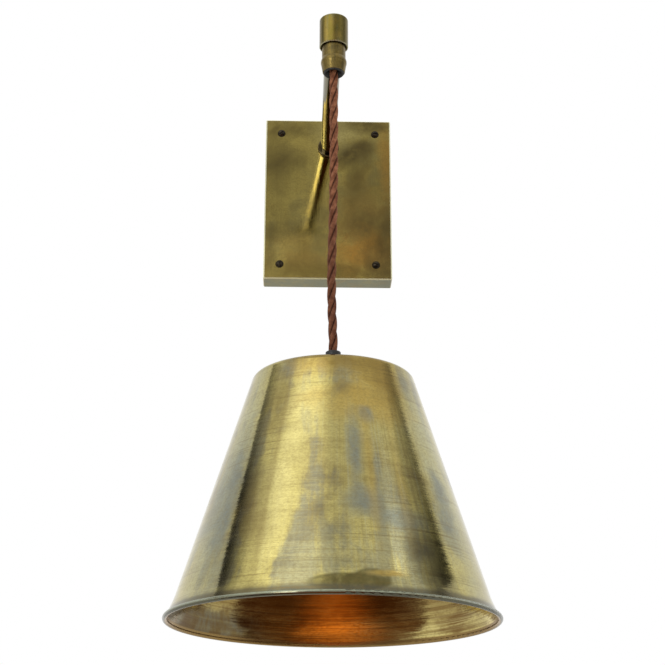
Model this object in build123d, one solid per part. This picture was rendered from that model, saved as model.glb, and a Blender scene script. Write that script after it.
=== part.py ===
from build123d import *
from math import cos, radians, sqrt, tan
import os

os.makedirs("parts", exist_ok=True)

# A wall light: a shallow plate, a straight arm, and a conical shade hanging from the arm's tip on a
# twisted flex. Millimetres, +Z up. The wall is the plane y = 0 and the room is on the -Y side; the
# origin is the middle of the four wall screws, which is the middle of the plate.

# Clearances
seat_gap = 0.05          # radial gap of screwed or brazed pieces
flex_gap = 0.3           # round the flex, and between its lengths

# Wall plate, a tray that is open at the back
plate_width = 102
plate_height = 141.5
plate_depth = 17.5
plate_wall = 1.6
plate_edge = 0.9         # worn bevel round the front
plate_corner = 1.2       # radius of the four upright corners

# Round-head slotted wood screws in the plate's corners
screw_span_x = 76.5
screw_span_z = 116.5
screw_head_dia = 6.6
screw_head_height = 2.3
screw_slot_width = 0.9
screw_slot_depth = 1.1
screw_shank_dia = 3.5
screw_shank_length = 16.5    # smooth part, it ends just inside the wall plane
screw_thread_dia = 3.0       # middle of the thread's crest and root
screw_length = 38
screw_point = 8          # length of the tapered point
screw_hole_gap = 0.35

# Arm
arm_height = 45          # axis above the plate's middle
arm_reach = 193.5        # wall to the middle of the hanging flex
arm_dia = 12
arm_bore = 9
spigot_dia = 10.4        # threaded end that goes through the plate
spigot_past_nut = 1.6
collar_dia = 17.4
collar_thick = 2.4
washer_dia = 19
washer_thick = 1.2
nut_flats = 15
nut_thick = 4

# Cap at the arm's tip, closed at the top and open below
cap_dia = 20
cap_wall = 1.1
cap_above = 7.4          # top of the cap above the arm's axis
cap_below = 15           # mouth of the cap below the arm's axis
cap_round = 1.4
cap_bevel = 0.55
tip_past_wall = 1.6      # arm's end inside the cap

# Cord grip under the cap: brass sleeve with a swelling, and its black insert
grip_dia = 16.4
grip_thread_length = 4
grip_thread_up = 3       # how far the grip's thread stands above the cap's mouth
grip_bead_dia = 17.9
grip_bead_height = 7.4   # widest ring above the grip's lower end
grip_bead_rise = 3.6     # from the widest ring up to the plain sleeve
grip_mouth_dia = 15.4
grip_below = 20          # lower end of the grip below the cap's mouth
insert_dia = 14.2
insert_length = 9
insert_proud = 1.0
bend_depth = 3.1         # flex's bending point above the insert's lower face
swing_room = 35          # degrees off plumb that the insert's mouth leaves free

# Flex, three twisted cores in brown braid
flex_dia = 6.2
feed_bend = 10           # radius of its bend inside the cap
core_dia = 2.2

# Lampholder on top of the shade and inside it
shade_drop = 259         # arm's axis to the shade's flat top
bush_dia = 9.8
bush_height = 18.6       # top of the bush above the shade
bush_length = 9
bush_bend = 2.2          # flex's bending point below the bush's top
tilt_room = 14
nipple_dia = 13
nipple_height = 12.8
dome_dia = 36
dome_height = 8.6
dome_wall = 1.2
dome_flange_dia = 45
dome_flange_thick = 1.4
skirt_dia = 39.4
skirt_wall = 1.2
skirt_up = 3.8           # top of the skirt above the shade
skirt_down = 47          # mouth of the skirt below the shade's top
skirt_lip = 1.5          # turned-in mouth
ring_dia = 54
ring_height = 6.5
ring_flutes = 24
flute_dia = 3.2
core_floor = 15          # underside of the porcelain's floor below the shade's top
porcelain_rim = 2        # porcelain stands back from the skirt's mouth
socket_dia = 26.6        # Edison screw E27
socket_wall = 0.6
socket_length = 24
contact_dia = 8
contact_thick = 0.8
contact_drop = 3.4       # tongue stands down from the porcelain's floor

# Shade: flat top, straight cone, flared foot and a rolled bead
shade_top_radius = 50.6  # where the cone's line meets the flat top
shade_height = 154
shade_wall = 1.0
shade_slope = 17.43      # degrees
shade_round = 4
flare_height = 11        # of the flared foot
flare_radius = 45
rim_dia = 203
bead_dia = 2.9

# Lamp in the lampholder, opal glass on an Edison screw cap
lamp_dia = 60
lamp_length = 105
lamp_neck_dia = 26
lamp_neck_length = 34    # contact to the end of the straight neck
lamp_wall = 0.9
lamp_cap_dia = 26
lamp_cap_wall = 0.5
lamp_cap_length = 22
lamp_cap_round = 2
lamp_pip_dia = 9
lamp_pip_height = 1.4
lamp_insulator_height = 3.4

# Wiring inside the plate
block_width = 27
block_height = 17
block_depth = 9
block_below_arm = 31     # arm's axis to the block's middle
barrel_dia = 7
barrel_pitch = 8.6
terminal_bore = 3.2
terminal_screw_dia = 3.4
terminal_screw_pitch = 8
earth_x = -30
earth_stud_dia = 4
earth_stud_length = 10
earth_nut_flats = 7
earth_nut_thick = 3.2
earth_washer_dia = 9
earth_washer_thick = 0.8

# Places that follow from the sizes above
plate_inside = -plate_depth + plate_wall
cap_radius = cap_dia / 2
cap_bore = cap_radius - cap_wall
cap_mouth = arm_height - cap_below
grip_end = cap_mouth - grip_below
insert_end = grip_end - insert_proud
swing_z = insert_end + bend_depth
flex_radius = flex_dia / 2
shade_top = arm_height - shade_drop
bush_top = shade_top + bush_height
tilt_z = bush_top - bush_bend
lamp_top = shade_top - core_floor - contact_drop
lamp_cap_high = lamp_top - lamp_pip_height - lamp_insulator_height
lamp_cap_low = lamp_cap_high - lamp_cap_length
arm_end = arm_reach - cap_bore + tip_past_wall
spigot_end = plate_inside + washer_thick + nut_thick + spigot_past_nut


def turned(*points):
    return revolve(Plane.XZ * make_face(Polyline(*points, close=True)), Axis.Z)


def ring(outer, inner, low, high):
    return turned((inner, low), (outer, low), (outer, high), (inner, high))


def hung(shape):         # from the Z axis to the flex's own line
    return Pos(0, -arm_reach, 0) * shape


def faced(shape, x, y, z):   # what was built up along +Z points out of the wall
    return Pos(x, y, z) * Rot(90, 0, 0) * shape


def hex_nut(flats, thick, bore_dia):
    blank = extrude(RegularPolygon(flats / 2, 6, major_radius=False), thick)
    crown = Cylinder(flats * 0.56, thick, align=(Align.CENTER, Align.CENTER, Align.MIN))
    crown = chamfer(crown.edges(), thick * 0.12)
    bore = Cylinder(bore_dia / 2 + seat_gap, thick * 3)
    return (blank & crown) - bore


def wall_plate():
    blank = Box(plate_width, plate_depth, plate_height, align=(Align.CENTER, Align.MAX, Align.CENTER))
    blank = fillet(blank.edges().filter_by(Axis.Y), plate_corner)
    front = blank.faces().sort_by(Axis.Y)[0]
    blank = chamfer(front.edges(), plate_edge)
    hollow = Box(plate_width - 2 * plate_wall, plate_depth - plate_wall, plate_height - 2 * plate_wall,
                 align=(Align.CENTER, Align.MAX, Align.CENTER))
    plate = blank - hollow
    plate -= faced(Cylinder(spigot_dia / 2 + seat_gap, 4 * plate_depth), 0, 0, arm_height)
    for x in (-screw_span_x / 2, screw_span_x / 2):
        for z in (-screw_span_z / 2, screw_span_z / 2):
            hole = Cylinder(screw_shank_dia / 2 + screw_hole_gap, 4 * plate_depth)
            plate -= faced(hole, x, 0, z)
    return plate


def wall_screws():
    radius = screw_head_dia / 2
    ball = (radius ** 2 + screw_head_height ** 2) / (2 * screw_head_height)
    head = Pos(0, 0, screw_head_height - ball) * Sphere(ball)
    head &= Cylinder(radius, screw_head_height, align=(Align.CENTER, Align.CENTER, Align.MIN))
    slot = Box(2 * screw_head_dia, screw_slot_width, 2 * screw_slot_depth)
    head -= Pos(0, 0, screw_head_height) * slot
    shank = screw_shank_dia / 2
    thread = screw_thread_dia / 2
    screw = head + turned((0, 0), (shank, 0), (shank, -screw_shank_length), (thread, -screw_shank_length),
                          (thread, screw_point - screw_length), (0, -screw_length))
    driven = []
    for x, z, turn in ((-1, 1, 38), (1, 1, 12), (-1, -1, 71), (1, -1, -24)):
        placed = faced(Rot(0, 0, turn) * screw, x * screw_span_x / 2, -plate_depth, z * screw_span_z / 2)
        driven.append(placed)
    return Compound(children=driven)


def arm_tube():
    reach = arm_end - plate_depth
    stub = -(plate_depth + spigot_end)
    tube = turned((0, 0), (arm_dia / 2, 0), (arm_dia / 2, reach), (0, reach))
    tube += turned((0, stub), (spigot_dia / 2, stub), (spigot_dia / 2, 0), (0, 0))
    tube -= Cylinder(arm_bore / 2, 4 * reach)
    return faced(tube, 0, -plate_depth, arm_height)


def arm_collar():
    body = ring(collar_dia / 2, arm_dia / 2 + seat_gap, 0, collar_thick)
    outer = body.edges().filter_by(GeomType.CIRCLE).sort_by(SortBy.RADIUS)[-2:]
    top = [edge for edge in outer if edge.center().Z > collar_thick / 2]
    return faced(fillet(top, collar_thick * 0.45), 0, -plate_depth, arm_height)


def arm_washer():
    body = ring(washer_dia / 2, spigot_dia / 2 + seat_gap, -washer_thick, 0)
    return faced(body, 0, plate_inside, arm_height)


def arm_nut():
    return faced(hex_nut(nut_flats, nut_thick, spigot_dia), 0, plate_inside + washer_thick + nut_thick,
                 arm_height)


def tip_cap():
    top = arm_height + cap_above
    body = Cylinder(cap_radius, top - cap_mouth, align=(Align.CENTER, Align.CENTER, Align.MIN))
    body = Pos(0, 0, cap_mouth) * body
    rims = body.edges().filter_by(GeomType.CIRCLE).sort_by(Axis.Z)
    body = chamfer(rims[:1], cap_bevel)
    rims = body.edges().filter_by(GeomType.CIRCLE).sort_by(Axis.Z)
    body = fillet(rims[-1:], cap_round)
    body -= ring(cap_bore, 0, cap_mouth - 1, top - cap_wall)
    side = Cylinder(arm_dia / 2 + seat_gap, cap_dia, align=(Align.CENTER, Align.CENTER, Align.MIN))
    return hung(body - Pos(0, 0, arm_height) * Rot(-90, 0, 0) * side)


def grip_sleeve():
    waist = grip_dia / 2
    bead = grip_bead_dia / 2
    thread_low = cap_mouth + grip_thread_up
    thread_high = thread_low + grip_thread_length
    widest = grip_end + grip_bead_height
    plain = widest + grip_bead_rise
    half = (waist + bead) / 2
    outline = Wire([
        Line((0, grip_end), (grip_mouth_dia / 2 - 0.4, grip_end)),
        Line((grip_mouth_dia / 2 - 0.4, grip_end), (grip_mouth_dia / 2, grip_end + 0.4)),
        Line((grip_mouth_dia / 2, grip_end + 0.4), (bead - 0.35, widest - 1.6)),
        ThreePointArc((bead - 0.35, widest - 1.6), (bead, widest), (half, plain - grip_bead_rise / 3)),
        Line((half, plain - grip_bead_rise / 3), (waist, plain)),
        Line((waist, plain), (waist, thread_low)),
        Line((waist, thread_low), (cap_bore - seat_gap, thread_low)),
        Line((cap_bore - seat_gap, thread_low), (cap_bore - seat_gap, thread_high)),
        Line((cap_bore - seat_gap, thread_high), (0, thread_high)),
        Line((0, thread_high), (0, grip_end)),
    ])
    body = revolve(Plane.XZ * make_face(outline), Axis.Z)
    socket_top = insert_end + insert_length
    body -= ring(insert_dia / 2 + seat_gap, 0, grip_end - 1, socket_top)
    body -= ring(flex_radius + 2 * flex_gap, 0, grip_end, thread_high + 1)
    return hung(body)


def mouth(radius, face, bend, room, outward):
    # Funnel that leaves the flex free to bend about a point `bend` inside the face
    lean = radians(room)
    lying = radius / cos(lean) + flex_gap / 2    # how far out the leaning flex is at the bending point
    throat = max(radius + 2 * flex_gap, lying)
    wide = bend * tan(lean) + lying
    centre = face - outward * bend
    inner = centre - outward * radius / 2
    return turned((0, inner), (throat, inner), (throat, centre), (wide, face), (wide, face + outward),
                  (0, face + outward))


def grip_insert():
    body = ring(insert_dia / 2, flex_radius + flex_gap, insert_end, insert_end + insert_length)
    outer = body.edges().filter_by(GeomType.CIRCLE).sort_by(Axis.Z)[:2].sort_by(SortBy.RADIUS)[-1:]
    body = fillet(outer, insert_proud * 0.8)
    return hung(body - mouth(flex_radius, insert_end, bend_depth, swing_room, -1))


def feed_flex():
    start = (0, -arm_reach, swing_z + flex_radius + flex_gap)
    corner = (0, -arm_reach, arm_height)
    end = (0, spigot_end - 1, arm_height)
    path = FilletPolyline(start, corner, end, radius=feed_bend)
    return sweep(Plane(origin=start, z_dir=(0, 0, 1)) * Circle(flex_radius), path=path)


def flex_ball(z):
    return hung(Pos(0, 0, z) * Sphere(flex_radius))


def flex_drop():
    body = Pos(0, 0, tilt_z) * Cylinder(flex_radius, swing_z - tilt_z,
                                        align=(Align.CENTER, Align.CENTER, Align.MIN))
    for z in (swing_z, tilt_z):
        body -= Pos(0, 0, z) * Sphere(flex_radius + flex_gap)
    return hung(body)


def flex_tail():
    cup = Pos(0, 0, tilt_z) * Sphere(flex_radius + flex_gap)
    low = shade_top + dome_height - dome_wall
    return hung(ring(flex_radius, 0, low, tilt_z) - cup)


def holder_bush():
    low = bush_top - bush_length
    body = ring(bush_dia / 2, flex_radius + flex_gap, low, bush_top)
    outer = body.edges().filter_by(GeomType.CIRCLE).sort_by(Axis.Z)[-2:].sort_by(SortBy.RADIUS)[-1:]
    body = fillet(outer, 0.5)
    return hung(body - mouth(flex_radius, bush_top, bush_bend, tilt_room, 1))


def holder_nipple():
    low = shade_top + dome_height
    high = shade_top + nipple_height
    body = ring(nipple_dia / 2, bush_dia / 2 + seat_gap, low, high)
    outer = body.edges().filter_by(GeomType.CIRCLE).sort_by(Axis.Z)[-2:].sort_by(SortBy.RADIUS)[-1:]
    return hung(chamfer(outer, 0.8))


def holder_dome():
    flange = dome_flange_dia / 2
    wall = dome_dia / 2
    top = shade_top + dome_height
    step = shade_top + dome_flange_thick
    neck = nipple_dia / 2 + 1
    shoulder = (top - step) * 0.4

    def shell(inset, low):
        side = wall - inset
        high = top - inset
        arc = ThreePointArc((side, step + shoulder),
                            (neck + (side - neck) * 0.72, step + shoulder + (high - step - shoulder) * 0.7),
                            (neck, high))
        return make_face(Wire([Line((0, low), (side, low)), Line((side, low), (side, step + shoulder)), arc,
                               Line((neck, high), (0, high)), Line((0, high), (0, low))]))

    body = revolve(Plane.XZ * shell(0, shade_top), Axis.Z) + ring(flange, 0, shade_top, step)
    body -= revolve(Plane.XZ * shell(dome_wall, shade_top - 1), Axis.Z)
    rim = body.edges().filter_by(GeomType.CIRCLE).sort_by(SortBy.RADIUS)[-2:].sort_by(Axis.Z)[-1:]
    body = fillet(rim, dome_flange_thick * 0.5)
    return hung(body - ring(bush_dia / 2 + seat_gap, 0, step, top + 1))


def holder_skirt():
    inside = dome_dia / 2 - dome_wall - seat_gap
    outer = skirt_dia / 2
    mouth_z = shade_top - skirt_down
    neck_z = shade_top - shade_wall
    body = turned((outer - skirt_wall - skirt_lip, mouth_z), (outer - 0.6, mouth_z), (outer, mouth_z + 0.6),
                  (outer, neck_z), (inside, neck_z), (inside, shade_top + skirt_up),
                  (inside - skirt_wall, shade_top + skirt_up), (inside - skirt_wall, neck_z - skirt_wall),
                  (outer - skirt_wall, neck_z - skirt_wall), (outer - skirt_wall, mouth_z + skirt_wall),
                  (outer - skirt_wall - skirt_lip, mouth_z + skirt_wall))
    return hung(body)


def shade_ring():
    high = shade_top - shade_wall
    body = ring(ring_dia / 2, skirt_dia / 2 + seat_gap, high - ring_height, high)
    rims = body.edges().filter_by(GeomType.CIRCLE).sort_by(SortBy.RADIUS)[-2:]
    body = chamfer(rims, 0.7)
    for step in range(ring_flutes):
        flute = Cylinder(flute_dia / 2, 3 * ring_height)
        body -= Rot(0, 0, step * 360 / ring_flutes) * Pos(ring_dia / 2 + flute_dia / 4, 0, high) * flute
    return hung(body)


def porcelain():
    outer = skirt_dia / 2 - skirt_wall - seat_gap
    top = shade_top - shade_wall - skirt_wall
    floor = shade_top - core_floor
    low = shade_top - skirt_down + porcelain_rim
    body = ring(outer, 0, low, top)
    body -= ring(socket_dia / 2 + socket_wall + seat_gap, 0, low - 1, floor)
    inner = body.edges().filter_by(GeomType.CIRCLE).sort_by(Axis.Z)[:2].sort_by(SortBy.RADIUS)[:1]
    return hung(chamfer(inner, 1.0))


def socket_shell():
    floor = shade_top - core_floor
    inner = socket_dia / 2
    outer = inner + socket_wall
    low = floor - socket_length
    return hung(turned((inner, low), (outer, low), (outer, floor), (contact_dia / 2 + 2.5, floor),
                       (contact_dia / 2 + 2.5, floor - socket_wall), (inner, floor - socket_wall)))


def socket_contact():
    floor = shade_top - core_floor
    lift = contact_drop - contact_thick
    post = ring(contact_dia / 5, 0, floor - lift, floor)
    disc = ring(contact_dia / 2, 0, floor - contact_drop, floor - lift)
    return hung(post + fillet(disc.edges().sort_by(Axis.Z)[:1], contact_thick * 0.6))


def shade():
    slope = tan(radians(shade_slope))
    foot = shade_height - flare_height
    foot_radius = shade_top_radius + foot * slope
    bead = bead_dia / 2
    end = (rim_dia / 2 - bead, -shade_height + bead)
    hole = dome_dia / 2 + seat_gap
    outline = FilletPolyline((hole, 0), (shade_top_radius, 0), (foot_radius, -foot), end,
                             radius=[shade_round, flare_radius])
    sheet = offset(outline, amount=shade_wall, side=Side.RIGHT)
    body = revolve(Plane.XZ * make_face(sheet), Axis.Z)
    body += revolve(Plane.XZ * Pos(*end) * Circle(bead), Axis.Z)
    return hung(Pos(0, 0, shade_top) * body)


def lamp_outline(inset):
    # Straight neck, then one arc out to the round bulb
    radius = lamp_dia / 2 - inset
    neck = lamp_neck_dia / 2 - inset
    root = lamp_cap_dia / 2 - lamp_cap_wall - seat_gap - inset
    middle = lamp_top - lamp_length + lamp_dia / 2
    side = radius * sqrt(0.5)
    neck_end = lamp_top - lamp_neck_length
    high = lamp_cap_high - lamp_cap_length / 2 - inset
    step = lamp_cap_low - seat_gap - inset
    sweep_out = TangentArc((neck, neck_end), (side, middle + side), tangent=(0, -1))
    ball = ThreePointArc((side, middle + side), (radius, middle), (0, middle - radius))
    return make_face(Wire([Line((0, high), (root, high)), Line((root, high), (root, step)),
                           Line((root, step), (neck, step)), Line((neck, step), (neck, neck_end)),
                           sweep_out, ball, Line((0, middle - radius), (0, high))]))


def lamp_glass():
    envelope = revolve(Plane.XZ * lamp_outline(0), Axis.Z)
    return hung(envelope - revolve(Plane.XZ * lamp_outline(lamp_wall), Axis.Z))


def lamp_cap():
    outer = lamp_cap_dia / 2
    body = ring(outer, 0, lamp_cap_low, lamp_cap_high)
    top = body.edges().filter_by(GeomType.CIRCLE).sort_by(Axis.Z)[-1:]
    body = fillet(top, lamp_cap_round)
    inner = outer - lamp_cap_wall
    body -= ring(inner, 0, lamp_cap_low - 1, lamp_cap_high - lamp_cap_round)
    return hung(body - ring(lamp_cap_dia / 2 - lamp_cap_round, 0, lamp_cap_low, lamp_cap_high + 1))


def lamp_insulator():
    low = lamp_cap_high - lamp_cap_round
    wide = lamp_cap_dia / 2 - lamp_cap_round
    high = lamp_top - lamp_pip_height
    return hung(turned((0, low), (wide - seat_gap, low), (wide - seat_gap, lamp_cap_high + seat_gap),
                       (lamp_pip_dia / 2, high), (0, high)))


def lamp_pip():
    low = lamp_top - lamp_pip_height
    body = ring(lamp_pip_dia / 2, 0, low, lamp_top)
    return hung(fillet(body.edges().sort_by(Axis.Z)[-1:], lamp_pip_height * 0.7))


def terminal_block():
    z = arm_height - block_below_arm
    base = Box(block_width, block_depth * 0.45, block_height, align=(Align.CENTER, Align.MIN, Align.CENTER))
    for pole in (-1, 0, 1):
        x = pole * barrel_pitch
        barrel = Box(barrel_dia, block_depth, block_height * 0.82,
                     align=(Align.CENTER, Align.MIN, Align.CENTER))
        barrel = fillet(barrel.edges().filter_by(Axis.Z).sort_by(Axis.Y)[-2:], barrel_dia * 0.3)
        base += Pos(x, 0, 0) * barrel
    for pole in (-1, 0, 1):
        x = pole * barrel_pitch
        base -= Pos(x, block_depth * 0.45, 0) * Cylinder(terminal_bore / 2, 2 * block_height)
        for side in (-1, 1):
            well = Cylinder(terminal_screw_dia / 2 + seat_gap, block_depth,
                            align=(Align.CENTER, Align.CENTER, Align.MIN))
            base -= Pos(x, block_depth * 0.45, side * terminal_screw_pitch / 2) * Rot(-90, 0, 0) * well
    return Pos(0, plate_inside, z) * base


def terminal_screws():
    z = arm_height - block_below_arm
    top = block_depth - 0.8
    low = block_depth * 0.45 + terminal_bore / 2
    screws = []
    for pole in (-1, 0, 1):
        for side in (-1, 1):
            screw = Cylinder(terminal_screw_dia / 2, top - low, align=(Align.CENTER, Align.CENTER, Align.MIN))
            screw -= Pos(0, 0, top - low) * Box(terminal_screw_dia, 0.6, 1.2)
            place = Pos(pole * barrel_pitch, plate_inside + low, z + side * terminal_screw_pitch / 2)
            screws.append(place * Rot(-90, 0, 0) * screw)
    return Compound(children=screws)


def core(points, radii):
    path = FilletPolyline(*points, radius=radii)
    start = Plane(origin=points[0], z_dir=Vector(*points[1]) - Vector(*points[0]))
    return sweep(start * Circle(core_dia / 2), path=path)


def live_core(side):
    # From the end of the flex, down beside the nut, into its own terminal
    y = spigot_end - 1 + flex_gap
    x = side * 1.7
    z = arm_height - block_below_arm + block_height * 0.41 - 1
    level = plate_inside + block_depth * 0.45
    turn = spigot_end + 3.6
    goal = side * barrel_pitch
    low = (arm_height + z) / 2 - 2
    return core([(x, y, arm_height - 0.6), (x, turn, arm_height - 0.6), (goal * 0.8, turn, low),
                 (goal, level, low - 4.5), (goal, level, z)], [3, 4, 2.2])


def earth_core():
    y = spigot_end - 1 + flex_gap
    turn = spigot_end + 3.6
    level = plate_inside + earth_washer_thick + core_dia / 2
    ear = earth_x + earth_washer_dia / 2 + core_dia / 2
    return core([(0, y, arm_height + 1.9), (0, turn, arm_height + 1.9), (ear + 9, turn, arm_height + 6),
                 (ear, level, arm_height)], [3, 4])


def earth_stud():
    return Pos(earth_x, plate_inside, arm_height) * Rot(-90, 0, 0) * Cylinder(
        earth_stud_dia / 2, earth_stud_length, align=(Align.CENTER, Align.CENTER, Align.MIN))


def earth_nut():
    nut = hex_nut(earth_nut_flats, earth_nut_thick, earth_stud_dia)
    washer = ring(earth_washer_dia / 2, earth_stud_dia / 2 + seat_gap, -earth_washer_thick, 0)
    level = plate_inside + earth_washer_thick
    return Pos(earth_x, level, arm_height) * Rot(-90, 0, 0) * (nut + washer)


nodes = {
    "wall_plate": wall_plate(),
    "wall_screws": wall_screws(),
    "arm_tube": arm_tube(),
    "arm_collar": arm_collar(),
    "arm_washer": arm_washer(),
    "arm_nut": arm_nut(),
    "tip_cap": tip_cap(),
    "grip_sleeve": grip_sleeve(),
    "grip_insert": grip_insert(),
    "feed_flex": feed_flex(),
    "flex_neck": flex_ball(swing_z),
    "flex_drop": flex_drop(),
    "flex_swivel": flex_ball(tilt_z),
    "flex_tail": flex_tail(),
    "holder_bush": holder_bush(),
    "holder_nipple": holder_nipple(),
    "holder_dome": holder_dome(),
    "holder_skirt": holder_skirt(),
    "shade_ring": shade_ring(),
    "porcelain": porcelain(),
    "socket_shell": socket_shell(),
    "socket_contact": socket_contact(),
    "shade": shade(),
    "lamp_glass": lamp_glass(),
    "lamp_cap": lamp_cap(),
    "lamp_insulator": lamp_insulator(),
    "lamp_pip": lamp_pip(),
    "terminal_block": terminal_block(),
    "terminal_screws": terminal_screws(),
    "live_core": live_core(1),
    "neutral_core": live_core(-1),
    "earth_core": earth_core(),
    "earth_stud": earth_stud(),
    "earth_nut": earth_nut(),
}
for name, shape in nodes.items():
    export_step(shape, f"parts/{name}.step")
    print(name, round(shape.volume, 1))
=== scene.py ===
import math

import bpy
from mathutils import Matrix, Vector


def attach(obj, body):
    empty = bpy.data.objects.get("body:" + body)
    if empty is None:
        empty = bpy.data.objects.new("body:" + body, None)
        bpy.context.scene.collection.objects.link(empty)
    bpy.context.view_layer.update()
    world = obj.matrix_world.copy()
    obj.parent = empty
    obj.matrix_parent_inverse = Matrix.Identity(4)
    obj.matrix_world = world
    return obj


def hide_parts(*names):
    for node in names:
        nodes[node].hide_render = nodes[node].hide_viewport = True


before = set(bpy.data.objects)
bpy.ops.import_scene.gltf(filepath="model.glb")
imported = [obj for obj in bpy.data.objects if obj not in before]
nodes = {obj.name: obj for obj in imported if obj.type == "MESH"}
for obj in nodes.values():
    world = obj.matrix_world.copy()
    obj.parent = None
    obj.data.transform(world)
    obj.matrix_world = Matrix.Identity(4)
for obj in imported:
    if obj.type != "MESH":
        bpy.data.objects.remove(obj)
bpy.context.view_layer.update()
hangLine = -0.1935           # y of the plumb line that the shade hangs on
print("frame loaded,", len(nodes), "nodes")


# Small helpers for the shader trees. A value is a number, a tuple or the output of another node

def feed(tree, node, values):
    for name, value in values.items():
        socket = node.inputs[name]
        if isinstance(value, bpy.types.NodeSocket):
            tree.links.new(value, socket)
        elif isinstance(value, tuple) and socket.type == "RGBA":
            socket.default_value = (*value, 1)
        else:
            socket.default_value = value


def addNode(tree, kind, values=None, **settings):
    made = tree.nodes.new("ShaderNode" + kind)
    for name, value in settings.items():
        setattr(made, name, value)
    feed(tree, made, values or {})
    return made


def calculate(tree, how, *values):
    return addNode(tree, "Math", dict(enumerate(values)), operation=how).outputs[0]


def plus(tree, a, b):
    return calculate(tree, "ADD", a, b)


def minus(tree, a, b):
    return calculate(tree, "SUBTRACT", a, b)


def times(tree, a, b):
    return calculate(tree, "MULTIPLY", a, b)


def onVectors(tree, how, *values, **more):
    made = addNode(tree, "VectorMath", dict(enumerate(values), **more), operation=how)
    return made.outputs["Value" if how in ("LENGTH", "DOT_PRODUCT") else "Vector"]


def split(tree, vector):
    return list(addNode(tree, "SeparateXYZ", {0: vector}).outputs)


def join(tree, x, y, z=0.0):
    return addNode(tree, "CombineXYZ", {0: x, 1: y, 2: z}).outputs[0]


def moved(tree, vector, **values):
    return addNode(tree, "Mapping", {"Vector": vector, **values}).outputs[0]


def objectPlace(tree):
    return addNode(tree, "TexCoord").outputs["Object"]


def spread(tree, value, low, high, toLow=0.0, toHigh=1.0):
    values = {"Value": value, "From Min": low, "From Max": high, "To Min": toLow, "To Max": toHigh}
    return addNode(tree, "MapRange", values, interpolation_type="SMOOTHSTEP").outputs[0]


def blendColour(tree, amount, a, b, how="MIX"):
    # the node's own numbers: 6 and 7 are its colours, and output 2 is the mixed one
    return addNode(tree, "Mix", {0: amount, 6: a, 7: b}, data_type="RGBA", blend_type=how).outputs[2]


def grain(tree, vector, scale, detail=3.0, rough=0.55, warp=0.0):
    values = {"Vector": vector, "Scale": scale, "Detail": detail, "Roughness": rough, "Distortion": warp}
    return addNode(tree, "TexNoise", values).outputs["Fac"]


def ovalDistance(tree, vector, x, y, wide, high):
    # how far from x, y, where 1 is the rim of an oval with these half sizes
    inside = moved(tree, vector, Location=(-x / wide, -y / high, 0), Scale=(1 / wide, 1 / high, 0))
    return onVectors(tree, "LENGTH", inside)


def freshMaterial(name):
    made = bpy.data.materials.new(name)
    made.use_nodes = True
    tree = made.node_tree
    return made, tree, tree.nodes["Principled BSDF"]


def dress(material, *names):
    for name in names:
        for slot in nodes[name].material_slots:
            slot.material = material


# Camera

cameraLook = {
    "place": (-0.02138, -1.04308, -0.50079),
    "lens": 76.25,
    "sensor": 36,
    "yaw": -1.4101,
    "pitch": 20.5705,
    "roll": 0.1262,
}


def placeCamera(look):
    yaw, pitch, roll = (math.radians(look[k]) for k in ("yaw", "pitch", "roll"))
    right = Vector((math.cos(yaw), math.sin(yaw), 0))
    ahead = Vector((-math.sin(yaw) * math.cos(pitch), math.cos(yaw) * math.cos(pitch), math.sin(pitch)))
    above = right.cross(ahead)
    side = math.cos(roll) * right + math.sin(roll) * above
    top = -math.sin(roll) * right + math.cos(roll) * above
    camera = bpy.data.objects.new("camera", bpy.data.cameras.new("camera"))
    turn = Matrix((side, top, -ahead)).transposed()
    camera.matrix_world = Matrix.Translation(look["place"]) @ turn.to_4x4()
    camera.data.lens = look["lens"]
    camera.data.sensor_width = look["sensor"]
    bpy.context.scene.collection.objects.link(camera)
    bpy.context.scene.camera = camera


placeCamera(cameraLook)
bpy.context.scene.view_settings.view_transform = "Standard"


# Studio. Corners of a card are a, b, c, d: a to b is its u, across, and a to d its v, up

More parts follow.
